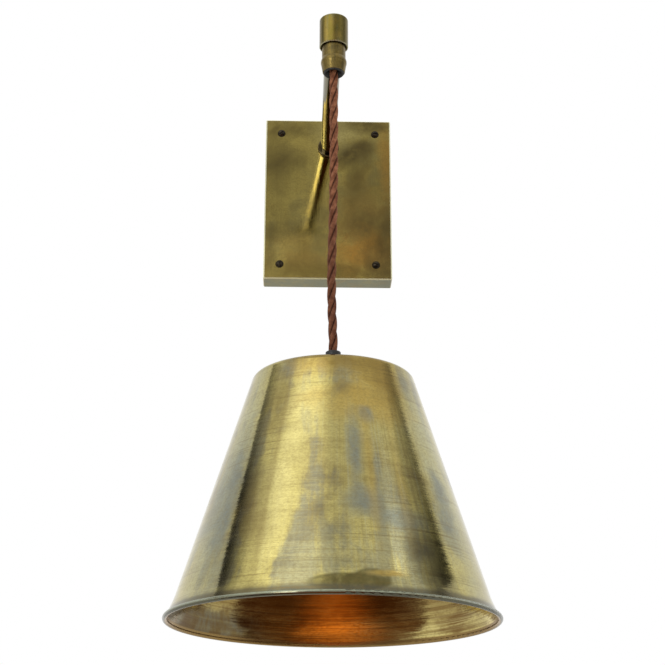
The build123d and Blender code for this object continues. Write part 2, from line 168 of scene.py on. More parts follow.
studio = {
    "ambient": 0.80,
    "floor": {
        "level": -0.86, "middle": (0, -0.4), "reach": 3.2, "colour": (0.80, 0.80, 0.79), "shade": 0.985,
        "grain": (3, 4), "roughness": 0.9, "shine": 0.2,
    },
    "boxes": [
        {"name": "keyBox", "place": (-0.90, -1.14, 1.02), "target": (0, -0.2, -0.28), "size": (0.60, 1.5),
         "watts": 4.4},
        {"name": "fillBox", "place": (1.35, -1.25, 0.55), "target": (0, -0.12, -0.2), "size": (0.6, 1.2),
         "watts": 2.6},
    ],
    # cards that give the metal its bands: tone at a and at d, then where it starts to fade and to which tone
    "rise": (0.20, 0.95),    # share of a card's height over which a's tone turns into d's
    "flags": [
        {"name": "leftFlag", "tone": (0.03, 0.42), "fade": 0.22, "faded": 0.72,
         "corners": [(-1.25, -0.10, 0.30), (-1.25, -0.75, 0.30), (-1.25, -0.10, 0.98), (-1.25, 0.34, 0.98)]},
        {"name": "rightFlag", "tone": (0.03, 0.42), "fade": 0.20, "faded": 0.66,
         "corners": [(1.25, 0.09, 0.26), (1.25, -1.20, 0.26), (1.25, -0.35, 0.98), (1.25, -0.03, 0.98)]},
        {"name": "frontCard", "tone": (0.40, 0.46), "fade": 0.0, "faded": 0.43,
         "corners": [(2.0, -2.4, 0.50), (-1.2, -2.4, 0.50), (-1.2, -2.4, 1.65), (2.0, -2.4, 1.65)]},
        {"name": "farCard", "tone": (0.40, 0.46), "fade": 0.0, "faded": 0.43,
         "corners": [(2.8, -0.5, 0.40), (2.0, -2.4, 0.40), (2.0, -2.4, 1.60), (2.8, -0.5, 1.60)]},
        {"name": "sideCard", "tone": (6.4, 6.4), "fade": 0.4, "faded": 5.4,
         "corners": [(-0.86, -2.2, -0.62), (-1.60, -2.2, -0.62), (-1.60, -2.2, 0.60), (-0.98, -2.2, 0.56)]},
    ],
    # what the metal sees of the boxes, brighter than white in the middle: its peak, and where the peak lies
    "glows": [
        {"name": "keyGlow", "peak": 1.85, "from": 0.42, "to": 0.62,
         "corners": [(-1.60, -0.45, 0.62), (-0.02, -1.95, 0.62), (-0.02, -1.95, 2.3), (-1.60, -0.45, 2.3)]},
        {"name": "fillGlow", "peak": 1.9, "from": 0.4, "to": 0.6,
         "corners": [(2.15, -2.30, 1.95), (2.80, -1.35, 1.95), (2.80, -1.35, 2.42), (2.15, -2.30, 2.42)]},
    ],
    # what the metal sees below: brown, with a warm middle
    "ground": {
        "corners": [(-1.70, -2.15, -0.85), (1.85, -2.15, -0.85), (1.90, -0.30, -0.85), (-1.60, -0.30, -0.85)],
        "middle": (-0.06, -0.98), "reach": (0.66, 0.62),
        "warm": (0.98, 0.29, 0.045), "brown": (0.108, 0.042, 0.016),
    },
}


def card(name, corners, material):
    mesh = bpy.data.meshes.new(name)
    mesh.from_pydata(corners, [], [(0, 1, 2, 3)])
    mesh.uv_layers.new(name="sheet").data.foreach_set("uv", (0, 0, 1, 0, 1, 1, 0, 1))
    mesh.materials.append(material)
    made = bpy.data.objects.new(name, mesh)
    bpy.context.scene.collection.objects.link(made)
    return made


def mirroredCard(name, corners, material):
    # only the metal's reflections see it
    made = card(name, corners, material)
    made.visible_camera = False
    made.visible_shadow = False
    made.visible_diffuse = False


def cardPaint(name):
    made, tree, shader = freshMaterial(name)
    tree.nodes.remove(shader)
    glow = addNode(tree, "Emission", {"Strength": 1.0})
    tree.links.new(glow.outputs[0], tree.nodes["Material Output"].inputs["Surface"])
    return made, tree, glow


def cardPlace(tree):
    across, up, _ = split(tree, addNode(tree, "UVMap", uv_map="sheet").outputs[0])
    return across, up


def lightWorld(ambient):
    # pure white where it is seen or mirrored, and less where it lights the object
    world = bpy.data.worlds.new("studio")
    bpy.context.scene.world = world
    world.use_nodes = True
    tree = world.node_tree
    rays = addNode(tree, "LightPath").outputs
    mirrored = calculate(tree, "MAXIMUM", rays["Is Glossy Ray"], rays["Is Transmission Ray"])
    seen = calculate(tree, "MAXIMUM", rays["Is Camera Ray"], mirrored)
    strength = spread(tree, seen, 0, 1, ambient, 1.0)
    feed(tree, tree.nodes["Background"], {"Color": (1, 1, 1), "Strength": strength})


def layFloor(look):
    paper, tree, shader = freshMaterial("paper")
    pale = look["colour"]
    shaded = tuple(c * look["shade"] for c in pale)
    tint = grain(tree, objectPlace(tree), *look["grain"])
    feed(tree, shader, {"Base Color": blendColour(tree, tint, pale, shaded), "Roughness": look["roughness"],
                        "Specular IOR Level": look["shine"]})
    (x, y), reach = look["middle"], look["reach"]
    corners = [(x + a * reach, y + b * reach, look["level"]) for a, b in ((-1, -1), (1, -1), (1, 1), (-1, 1))]
    card("floor", corners, paper)


def hangCards(look):
    for flag in look["flags"]:
        paint, tree, glow = cardPaint(flag["name"])
        across, up = cardPlace(tree)
        tone = spread(tree, up, *look["rise"], *flag["tone"])
        feed(tree, glow, {"Strength": spread(tree, across, flag["fade"], 1.0, tone, flag["faded"])})
        mirroredCard(flag["name"], flag["corners"], paint)

    for bright in look["glows"]:
        paint, tree, glow = cardPaint(bright["name"])
        across, _ = cardPlace(tree)
        bell = times(tree, spread(tree, across, 0, bright["from"]), spread(tree, across, 1, bright["to"]))
        feed(tree, glow, {"Strength": calculate(tree, "MULTIPLY_ADD", bell, bright["peak"] - 1, 1.0)})
        mirroredCard(bright["name"], bright["corners"], paint)

    ground = look["ground"]
    paint, tree, glow = cardPaint("ground")
    place = addNode(tree, "NewGeometry").outputs["Position"]
    far = ovalDistance(tree, place, *ground["middle"], *ground["reach"])
    feed(tree, glow, {"Color": blendColour(tree, spread(tree, far, 0, 1), ground["warm"], ground["brown"])})
    mirroredCard("ground", ground["corners"], paint)


def placeBoxes(boxes):
    for look in boxes:
        lamp = bpy.data.lights.new(look["name"], "AREA")
        lamp.shape = "RECTANGLE"
        lamp.size, lamp.size_y = look["size"]
        lamp.energy = look["watts"]
        box = bpy.data.objects.new(look["name"], lamp)
        ahead = Vector(look["target"]) - Vector(look["place"])
        box.location = look["place"]
        box.rotation_euler = ahead.to_track_quat("-Z", "Y").to_euler()
        box.visible_glossy = False
        bpy.context.scene.collection.objects.link(box)


lightWorld(studio["ambient"])
layFloor(studio["floor"])
hangCards(studio)
placeBoxes(studio["boxes"])
print("camera and studio set")


# Twisted flex: three braided strands laid round a smooth line

flex = {
    # x and z of the points that shape the line
    "route": [(0, 0.0130), (0, -0.0080), (0.0003, -0.0480), (-0.0001, -0.0980), (-0.0012, -0.1350),
              (-0.0010, -0.1650), (0, -0.1850), (0, -0.1990)],
    "length": 0.2120,
    "diameter": 0.0062,
    "strands": 3,
    "thick": 0.00280,           # one braided core, from the middle outwards
    "wide": 0.00335,            # and across, where its neighbours press it
    "pressed": 0.18,            # how much narrower its inward side is
    "pull": 0.00160,            # from the line to a strand's middle
    "lay": 0.0388,              # one full twist
    "start": 0.9,               # angle of the first strand at the top
    "uneven": (0.16, 71),       # a hand-twisted cord is never quite even: angle, and waves by the metre
    "carriers": 6,              # repeats of the braid round one strand
    "pick": 0.0016,             # length of one repeat
    "around": 18,
    "step": 0.0006,
}

braid = {
    "deep": (0.200, 0.072, 0.030), "light": (0.480, 0.208, 0.104), "gap": (0.055, 0.014, 0.006),
    "fleck": (0.56, 0.32, 0.22), "sheenTint": (1.0, 0.62, 0.45), "sheen": 0.05, "sheenRoughness": 0.5,
    "shine": 0.18, "roughness": (0.62, 0.86),
    "wear": (260, 4, 0.6), "fibre": (14, 3, 0.7),  # scale, detail, roughness
    "worn": (0.35, 0.68), "soft": (0.2, 0.8), "crossing": 0.25, "gapDepth": 0.75, "flecks": 0.45,
    "bed": (0.62, -0.35, 0, 0.74),                 # painted shade where the strands bed on each other
    "paintedShadeBelow": (-0.070, -0.125, 0, 0.42),             # painted shade: darker lower down, towards the lampshade, from one height to another
    "fibreRelief": 0.35, "relief": 0.85, "depth": 0.00016,
}


def smoothLine(points):
    curve = bpy.data.curves.new("flexLine", "CURVE")
    curve.dimensions = "3D"
    curve.resolution_u = 64
    spline = curve.splines.new("NURBS")
    spline.points.add(len(points) - 1)
    for point, place in zip(spline.points, points):
        point.co = (*place, 1)
    spline.order_u = 3
    spline.use_endpoint_u = True
    holder = bpy.data.objects.new("flexLine", curve)
    mesh = bpy.data.meshes.new_from_object(holder)
    line = [v.co.copy() for v in mesh.vertices]
    bpy.data.objects.remove(holder)
    return line


def evenly(line, step):
    # the same line with points a fixed step apart
    lengths = [0.0]
    for a, b in zip(line, line[1:]):
        lengths.append(lengths[-1] + (b - a).length)
    count = round(lengths[-1] / step)
    points, at = [], 0
    for i in range(count + 1):
        goal = lengths[-1] * i / count
        while at < len(line) - 2 and lengths[at + 1] < goal:
            at += 1
        share = (goal - lengths[at]) / (lengths[at + 1] - lengths[at])
        points.append(line[at].lerp(line[at + 1], share))
    return points, lengths[-1]


def braidMaterial(name, look, carriers):
    made, tree, shader = freshMaterial(name)
    uv = addNode(tree, "UVMap", uv_map="braid").outputs[0]
    across, along, _ = split(tree, uv)
    waveA, waveB = (calculate(tree, "SINE", times(tree, slant, 2 * math.pi))
                    for slant in (plus(tree, across, along), minus(tree, across, along)))
    over = spread(tree, times(tree, waveA, waveB), -look["crossing"], look["crossing"])
    yarnA, yarnB = (calculate(tree, "ABSOLUTE", wave) for wave in (waveA, waveB))
    height = addNode(tree, "Mix", {0: over, 2: yarnA, 3: yarnB}, data_type="FLOAT").outputs[0]
    place = objectPlace(tree)
    wear = grain(tree, place, *look["wear"])
    fibre = grain(tree, uv, *look["fibre"])

    base = blendColour(tree, spread(tree, wear, *look["worn"]), look["deep"], look["light"])
    # painted shade in the low places of the weave
    base = blendColour(tree, times(tree, minus(tree, 1.0, height), look["gapDepth"]), base, look["gap"])
    base = blendColour(tree, times(tree, fibre, look["flecks"]), base, look["fleck"], "SOFT_LIGHT")
    # painted shade on the inner side of each strand, where it beds on the others
    bed = calculate(tree, "COSINE", times(tree, across, 2 * math.pi / carriers))
    base = blendColour(tree, spread(tree, bed, *look["bed"]), base, look["gap"])
    # painted shade: the flex darkens lower down
    rise = split(tree, place)[2]
    base = blendColour(tree, spread(tree, rise, *look["paintedShadeBelow"]), base, look["gap"])

    both = plus(tree, height, times(tree, fibre, look["fibreRelief"]))
    bump = addNode(tree, "Bump", {"Height": both, "Strength": look["relief"], "Distance": look["depth"]})
    feed(tree, shader, {
        "Base Color": base, "Roughness": spread(tree, fibre, *look["soft"], *look["roughness"]),
        "Sheen Weight": look["sheen"], "Sheen Roughness": look["sheenRoughness"], "Sheen Tint": look["sheenTint"],
        "Specular IOR Level": look["shine"], "Normal": bump.outputs[0]})
    return made


def strandVerts(line, length, look, strand):
    verts = []
    last = len(line) - 1
    waver, waves = look["uneven"]
    for i, point in enumerate(line):
        ahead = (line[min(i + 1, last)] - line[max(i - 1, 0)]).normalized()
        sideX = Vector((1, 0, 0))
        sideX = (sideX - ahead * sideX.dot(ahead)).normalized()
        sideY = ahead.cross(sideX)
        run = i * length / last
        turn = (2 * math.pi * (run / look["lay"] + strand / look["strands"]) + waver * math.sin(run * waves)
                + look["start"])
        out = sideX * math.cos(turn) + sideY * math.sin(turn)
        along = (ahead + (sideY * math.cos(turn) - sideX * math.sin(turn))
                 * (2 * math.pi * look["pull"] / look["lay"])).normalized()
        cross = along.cross(out).normalized()
        middle = point + out * look["pull"]
        for j in range(look["around"]):
            angle = 2 * math.pi * j / look["around"]
            width = look["wide"] / 2 * (1 - look["pressed"] * max(0.0, -math.cos(angle)))
            verts.append(middle + look["thick"] / 2 * math.cos(angle) * out + width * math.sin(angle) * cross)
    return verts


def strandFaces(count, look, first):
    faces, uvs = [], []
    around, carriers = look["around"], look["carriers"]
    for i in range(count - 1):
        low, high = (k * look["step"] / look["pick"] for k in (i, i + 1))
        a, b = first + i * around, first + (i + 1) * around
        for j in range(around):
            k = (j + 1) % around
            faces.append((a + j, a + k, b + k, b + j))
            left, right = j / around * carriers, (j + 1) / around * carriers
            uvs.extend(((left, low), (right, low), (right, high), (left, high)))
    for end in (0, count - 1):
        rim = [first + end * around + j for j in range(around)]
        faces.append(tuple(reversed(rim)) if end == 0 else tuple(rim))
        uvs.extend([(0, 0)] * around)
    return faces, uvs


def buildFlex(look):
    route = [(x, hangLine, z) for x, z in look["route"]]
    line, length = evenly(smoothLine(route), look["step"])
    verts, faces, uvs = [], [], []
    for strand in range(look["strands"]):
        newFaces, newUvs = strandFaces(len(line), look, len(verts))
        verts += strandVerts(line, length, look, strand)
        faces += newFaces
        uvs += newUvs
    mesh = bpy.data.meshes.new("twisted_flex")
    mesh.from_pydata(verts, [], faces)
    layer = mesh.uv_layers.new(name="braid")
    layer.data.foreach_set("uv", [c for uv in uvs for c in uv])
    mesh.polygons.foreach_set("use_smooth", [True] * len(mesh.polygons))
    mesh.materials.append(braidMaterial("flexBraid", braid, look["carriers"]))
    cord = bpy.data.objects.new("twisted_flex", mesh)
    bpy.context.scene.collection.objects.link(cord)
    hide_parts("flex_drop", "flex_neck", "flex_swivel")
    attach(cord, "flex")
    return length


print("flex", round(buildFlex(flex), 4), "m")


# Aged brass. One recipe, with its own tones and wear for each piece

brassNoise = {
    # alike all ways: size against the look's blotch, detail, roughness, distortion
    "even": {"blotch": (1, 6, 0.6, 0.5), "cloud": (0.42, 3, 0.5, 0.3), "fine": (3.2, 5, 0.65, 0),
             "speck": (9, 5, 0.7, 0)},
    # pulled out round the piece: against the look's sweep and pitch, detail, roughness
    "turned": {"lines": (1, 1, 4, 0.65), "bands": (0.6, 0.16, 5, 0.6), "scratch": (0.6, 1.25, 2, 0.5)},
    "runs": (5, 0.62, 0.4),         # detail, roughness, distortion
    "grit": (3, 0.6),
    "gritStretch": (1, 1, 1.7),
    "ragged": (2.4, 1.3),           # how far blotches and fine noise push a patch's edge
    "mottle": (0.30, 0.62, 0.6, 1.0),
    "flatSweep": 12.0,              # makes a flat piece's metres as wide as a round piece's arc
}


def surfacePlaces(tree, look):
    # x and y round the piece's axis, z along it, and the flat place that patches are given in
    place = objectPlace(tree)
    away = tuple(-c for c in look["axis"])
    x, y, z = split(tree, moved(tree, place, Location=away, Rotation=look["lie"]))
    at = {"x": x, "z": z, "shifted": moved(tree, place, Location=look["shift"])}
    if look["round"]:
        at["radial"] = onVectors(tree, "NORMALIZE", join(tree, x, y))
        at["arcX"], at["arcY"], _ = split(tree, at["radial"])
        angle = calculate(tree, "ARCTAN2", at["arcX"], times(tree, at["arcY"], -1.0))
        at["across"] = times(tree, angle, 180 / math.pi)        # degrees
    else:
        at["arcX"], at["arcY"] = (times(tree, c, brassNoise["flatSweep"]) for c in (x, y))
        at["across"] = times(tree, x, 1000.0)                   # millimetres
    at["patch"] = join(tree, at["across"], times(tree, z, 1000.0))
    return at


def streaks(tree, at, sweep, pitch, detail, rough, warp=0.0):
    stretched = join(tree, times(tree, at["arcX"], sweep), times(tree, at["arcY"], sweep),
                     times(tree, at["z"], pitch))
    return grain(tree, stretched, 1, detail, rough, warp)


def surfaceNoises(tree, look, at):
    turn, recipe = look["turning"], brassNoise
    made = {name: grain(tree, at["shifted"], look["blotch"] * size, *rest)
            for name, (size, *rest) in recipe["even"].items()}
    for name, (sweep, pitch, *rest) in recipe["turned"].items():
        made[name] = streaks(tree, at, turn["sweep"] * sweep, turn["pitch"] * pitch, *rest)
    made["runs"] = streaks(tree, at, look["runs"], look["runLength"], *recipe["runs"])
    stretched = moved(tree, at["shifted"], Scale=recipe["gritStretch"])
    made["grit"] = grain(tree, stretched, look["grit"], *recipe["grit"])
    made["ragged"] = plus(tree, *(times(tree, minus(tree, made[name], 0.5), push)
                                  for name, push in zip(("blotch", "fine"), recipe["ragged"])))
    made["mottle"] = spread(tree, made["fine"], *recipe["mottle"])
    return made


def mixture(tree, noise, shares):
    return plus(tree, *(times(tree, noise[name], share) for name, share in shares.items()))


tarnish = {
    "gold": (0.38, 0.62),           # where the noise starts to show the tone, and where it shows it in full
    "dull": {"blotch": 0.6, "runs": 0.4},
    # noise, where it starts and where it is full, the look's value for how much, tone
    "layers": [("dull", 0.50, 0.64, "dulling", "brown"), ("greyed", 0.50, 0.64, "greying", "grey"),
               ("lines", 0.42, 0.62, "tint", "rub"), ("bands", 0.46, 0.66, "tint", "brown"),
               ("speck", 0.58, 0.74, "specks", "speck")],
    "hairs": [(0.50, 0.68, "pale"), (0.47, 0.32, "brown")],
    "hairGrain": (3, 0.6),          # detail, roughness
    "hairSide": (0.4, 0.25),        # share of the width where they are full, and how many lie elsewhere
    # outer and inner edge of a patch, and how ragged it is; the crisp edge is for the painted dark reflection above
    # the shade's rim
    "softPatch": (1.5, 0.2, 1.0), "crispPatch": (1.15, 0.80, 0.28), "crispTone": "mirroredDark",
    "gritty": {"speck": 0.35, "grit": 0.65}, "grittyFrom": (0.34, 0.60),
    "scored": (0.46, 0.28), "scoredWhere": (0.40, 0.58, 0.25, 1.0),
    "facingDown": (-0.8, -0.95, 0, 0.85),
    "bevel": (0.30, 0.45), "notLevel": (0.95, 0.85),
    # the inside: where it takes over, by how far the surface faces out, and its lip
    "inward": (0.05, -0.05), "lip": (0.35, -0.35),
    "inside": {"bands": 0.5, "blotch": 0.5}, "insideWarm": (0.37, 0.54),
    "insideLayers": [("lines", 0.45, 0.62, 0.4, "rub"), ("scratch", 0.52, 0.34, 0.55, "deep"),
                     ("grit", 0.50, 0.36, 0.35, "deep")],
    "lowDarkGrey": (0.47, 0.66, 0, 0.8),
}


def tarnishedTone(tree, look, noise):
    tones, amounts = look["tones"], {**look, **look["turning"]}
    base = blendColour(tree, spread(tree, noise["cloud"], *tarnish["gold"]), tones["olive"], tones["gold"])
    values = dict(noise, dull=mixture(tree, noise, tarnish["dull"]),
                  greyed=times(tree, plus(tree, noise["blotch"], noise["cloud"]), noise["runs"]))
    for name, low, high, amount, tone in tarnish["layers"]:
        base = blendColour(tree, spread(tree, values[name], low, high, 0, amounts[amount]), base, tones[tone])
    return base


def brushedTone(tree, look, at, base):
    # hairs that run down the piece, most to both sides of one angle
    brush = look["brushed"]
    hairs = streaks(tree, at, brush["fine"], brush["long"], *tarnish["hairGrain"])
    off = calculate(tree, "ABSOLUTE", minus(tree, at["across"], brush["angle"]))
    full, least = tarnish["hairSide"]
    side = spread(tree, off, brush["wide"], brush["wide"] * full, least, 1.0)
    for low, high, tone in tarnish["hairs"]:
        shown = times(tree, side, spread(tree, hairs, low, high, 0, brush["amount"]))
        base = blendColour(tree, shown, base, look["tones"][tone])
    return base


def patchedTone(tree, look, at, noise, base):
    tones = look["tones"]
    for across, height, wide, high, tone, amount in look["patches"]:
        far = ovalDistance(tree, at["patch"], across, height, wide, high)
        outer, core, rag = tarnish["crispPatch" if tone == tarnish["crispTone"] else "softPatch"]
        mask = spread(tree, calculate(tree, "MULTIPLY_ADD", noise["ragged"], rag, far), outer, core, 0, amount)
        base = blendColour(tree, times(tree, mask, noise["mottle"]), base, tones[tone])
    for low, high, tone, amount in look.get("shading", []):     # bands at set heights along the piece: on the shade, painted reflections by the bead
        uneven = calculate(tree, "MULTIPLY_ADD", minus(tree, noise["blotch"], 0.5), abs(high - low), at["z"])
        base = blendColour(tree, spread(tree, uneven, low, high, 0, amount), base, tones[tone])
    return base


def grittyTone(tree, look, noise, base):
    # a fine mottling all over, and fine dark scratches across
    brown = look["tones"]["brown"]
    gritty = mixture(tree, noise, tarnish["gritty"])
    base = blendColour(tree, spread(tree, gritty, *tarnish["grittyFrom"], look["mottling"], 0.0), base, brown)
    scored = times(tree, spread(tree, noise["scratch"], *tarnish["scored"], 0, look["turning"]["scratch"]),
                   spread(tree, noise["cloud"], *tarnish["scoredWhere"]))
    return blendColour(tree, scored, base, brown)


def innerTone(tree, look, at, noise, inward, base):
    # the inside was never polished: dark, with its own warm tone
    own = look["inner"]
    warmth = spread(tree, mixture(tree, noise, tarnish["inside"]), *tarnish["insideWarm"])
    inner = blendColour(tree, warmth, own["deep"], own["warm"])
    for name, low, high, amount, tone in tarnish["insideLayers"]:
        inner = blendColour(tree, spread(tree, noise[name], low, high, 0, amount), inner, own[tone])
    # darker low down on the left of the inside
    height = plus(tree, at["z"], times(tree, noise["ragged"], own["lowDarkRagged"]))
    lowDarkMask = times(tree, spread(tree, height, *own["lowDarkBelow"]), spread(tree, at["arcX"], *own["lowDarkSide"]))
    lowDark = blendColour(tree, spread(tree, noise["blotch"], *tarnish["lowDarkGrey"]), own["lowDark"],
                       look["tones"]["grey"])
    inner = blendColour(tree, lowDarkMask, inner, lowDark)
    # painted shade: darker higher up inside the shade
    inner = blendColour(tree, spread(tree, at["z"], *own["mouth"]), inner, own["deep"])
    base = blendColour(tree, spread(tree, inward, *tarnish["lip"]), base, own["lip"])
    inside = times(tree, spread(tree, inward, *tarnish["inward"]),
                   spread(tree, at["z"], look["bead"], look["bead"] + own["beadAbove"]))
    return blendColour(tree, inside, base, inner)


finish = {
    "polish": {"blotch": 0.55, "bands": 0.45}, "polishFrom": (0.36, 0.66),
    "beadSmooth": 0.14,             # how much smoother the rolled bead is
    "beadRim": 0.0012,              # height over which the bead gives way to the wall
    "hazyEdge": (1.15, 0.7),
    "brushing": 0.25,               # turn of the anisotropy, so that highlights lie along the piece
    # detail and roughness of the noise, and the depth of each bump
    "dents": (2, 0.5), "dentDepth": 0.004, "bandShare": 0.8, "lineDepth": 0.00012,
    "speckRelief": 0.12, "speckDepth": 0.0001,
    "fraySweep": 6.5, "frayPitch": 1.6, "frayGrain": (3, 0.6),
}


def roughnessOf(tree, look, at, noise, inward, rolled, bevel):
    rough = spread(tree, mixture(tree, noise, finish["polish"]), *finish["polishFrom"], *look["roughness"])
    if inward:
        rough = plus(tree, rough, spread(tree, inward, *tarnish["inward"], 0, look["inner"]["rougher"]))
    if rolled:
        smooth = finish["beadSmooth"]
        rough = plus(tree, rough, calculate(tree, "MULTIPLY_ADD", rolled, -smooth, smooth))
    if bevel:
        rough = plus(tree, rough, times(tree, bevel, look["wornRough"]))
    for x, z, wide, high, more in look.get("hazy", []):     # places that lost their polish
        far = ovalDistance(tree, at["patch"], x, z, wide, high)
        rough = plus(tree, rough, spread(tree, far, *finish["hazyEdge"], 0, more))
    return rough


def normalOf(tree, look, at, noise, rolled):
    dents = grain(tree, at["shifted"], look["waviness"], *finish["dents"])
    first = addNode(tree, "Bump", {"Height": dents, "Strength": look["dents"], "Distance": finish["dentDepth"]})
    if "bow" in look:        # beaten slightly out of true, metres of rise in each metre across
        rise = times(tree, at["x"], look["bow"])
        bowed = addNode(tree, "Bump", {"Height": rise, "Strength": 1.0, "Distance": 1.0})
        feed(tree, first, {"Normal": bowed.outputs[0]})
    relief = look["turning"]["relief"]
    if rolled:
        relief = times(tree, rolled, relief)
    height = plus(tree, noise["lines"], times(tree, noise["bands"], finish["bandShare"]))
    second = addNode(tree, "Bump", {"Height": height, "Strength": relief, "Distance": finish["lineDepth"],
                                    "Normal": first.outputs[0]})
    third = addNode(tree, "Bump", {"Height": noise["speck"], "Strength": finish["speckRelief"],
                                   "Distance": finish["speckDepth"], "Normal": second.outputs[0]})
    return third.outputs[0]


def frayed(tree, look, at, inward, rolled, normal):
    # each turning line leans its own way, which frays the edges of what the metal shows
    pitch = look["turning"]["pitch"] * finish["frayPitch"]
    lean = minus(tree, streaks(tree, at, finish["fraySweep"], pitch, *finish["frayGrain"]), 0.5)
    most = spread(tree, inward, *tarnish["inward"], look["fray"], look["inner"]["fray"])
    aside = onVectors(tree, "CROSS_PRODUCT", at["radial"], (0, 0, 1))
    push = onVectors(tree, "SCALE", aside, Scale=times(tree, times(tree, lean, most), rolled))
    turned = addNode(tree, "VectorTransform", {0: push}, vector_type="VECTOR", convert_from="OBJECT",
                     convert_to="WORLD").outputs[0]
    return onVectors(tree, "NORMALIZE", onVectors(tree, "ADD", normal, turned))


def agedBrass(name, look):
    made, tree, shader = freshMaterial(name)
    at = surfacePlaces(tree, look)
    noise = surfaceNoises(tree, look, at)
    facing = addNode(tree, "TexCoord").outputs["Normal"]
    inward = rolled = bevel = None
    if "bead" in look:
        rolled = spread(tree, at["z"], look["bead"], look["bead"] + finish["beadRim"])

    base = tarnishedTone(tree, look, noise)
    if "brushed" in look:
        base = brushedTone(tree, look, at, base)
    base = patchedTone(tree, look, at, noise, base)
    base = grittyTone(tree, look, noise, base)
    if "inner" in look:
        inward = onVectors(tree, "DOT_PRODUCT", facing, at["radial"])
        base = innerTone(tree, look, at, noise, inward, base)
    if "under" in look:      # greyer underneath
        down = spread(tree, split(tree, facing)[2], *tarnish["facingDown"])
        base = blendColour(tree, times(tree, down, noise["mottle"]), base, look["under"])
    if "worn" in look:       # bevels rubbed bright, which also paints bright highlights along their edges
        slant = calculate(tree, "ABSOLUTE", split(tree, facing)[look["wornAxis"]])
        bevel = times(tree, spread(tree, slant, *tarnish["bevel"]), spread(tree, slant, *tarnish["notLevel"]))
        base = blendColour(tree, times(tree, bevel, look["worn"]), base, look["tones"]["bareAndGlint"])

    normal = normalOf(tree, look, at, noise, rolled)
    if "fray" in look:
        normal = frayed(tree, look, at, inward, rolled, normal)
    rough = roughnessOf(tree, look, at, noise, inward, rolled, bevel)
    feed(tree, shader, {"Base Color": base, "Metallic": 1, "Roughness": rough, "Normal": normal})
    if look["anisotropy"]:
        tangent = addNode(tree, "Tangent", direction_type="RADIAL", axis=look["around"]).outputs[0]
        feed(tree, shader, {"Anisotropic": look["anisotropy"], "Anisotropic Rotation": finish["brushing"],
                            "Tangent": tangent})
    return made


brassTones = {
    "gold": (0.520, 0.445, 0.150), "olive": (0.410, 0.350, 0.125), "brown": (0.175, 0.125, 0.045),
    "grey": (0.195, 0.212, 0.178), "rub": (0.600, 0.530, 0.215), "speck": (0.060, 0.042, 0.018),
    "bareAndGlint": (0.860, 0.780, 0.440), "amber": (0.440, 0.310, 0.080), "smoke": (0.090, 0.084, 0.060),
    "pale": (0.430, 0.435, 0.285), "mirroredDark": (0.105, 0.090, 0.032), "paintedBeadGlint": (0.315, 0.345, 0.255),
    "umber": (0.250, 0.170, 0.045),
}

# In each look, sweep and pitch are how fine the turning lines are round the piece and along it, and runs and
# runLength the same for streaks of tarnish. blotch, grit and waviness are how fine those are. tint, scratch,
# dulling, greying, specks and mottling are how much of each shows, from 0 to 1.

# what the round pieces share
roundLook = {
    "tones": brassTones, "round": True, "axis": (0, hangLine, 0), "lie": (0, 0, 0), "shift": (0.31, 0.12, 0.07),
    "around": "Z", "anisotropy": 0.75, "dulling": 0.70, "greying": 0.55, "specks": 0.25, "mottling": 0.34,
    "patches": [],
}

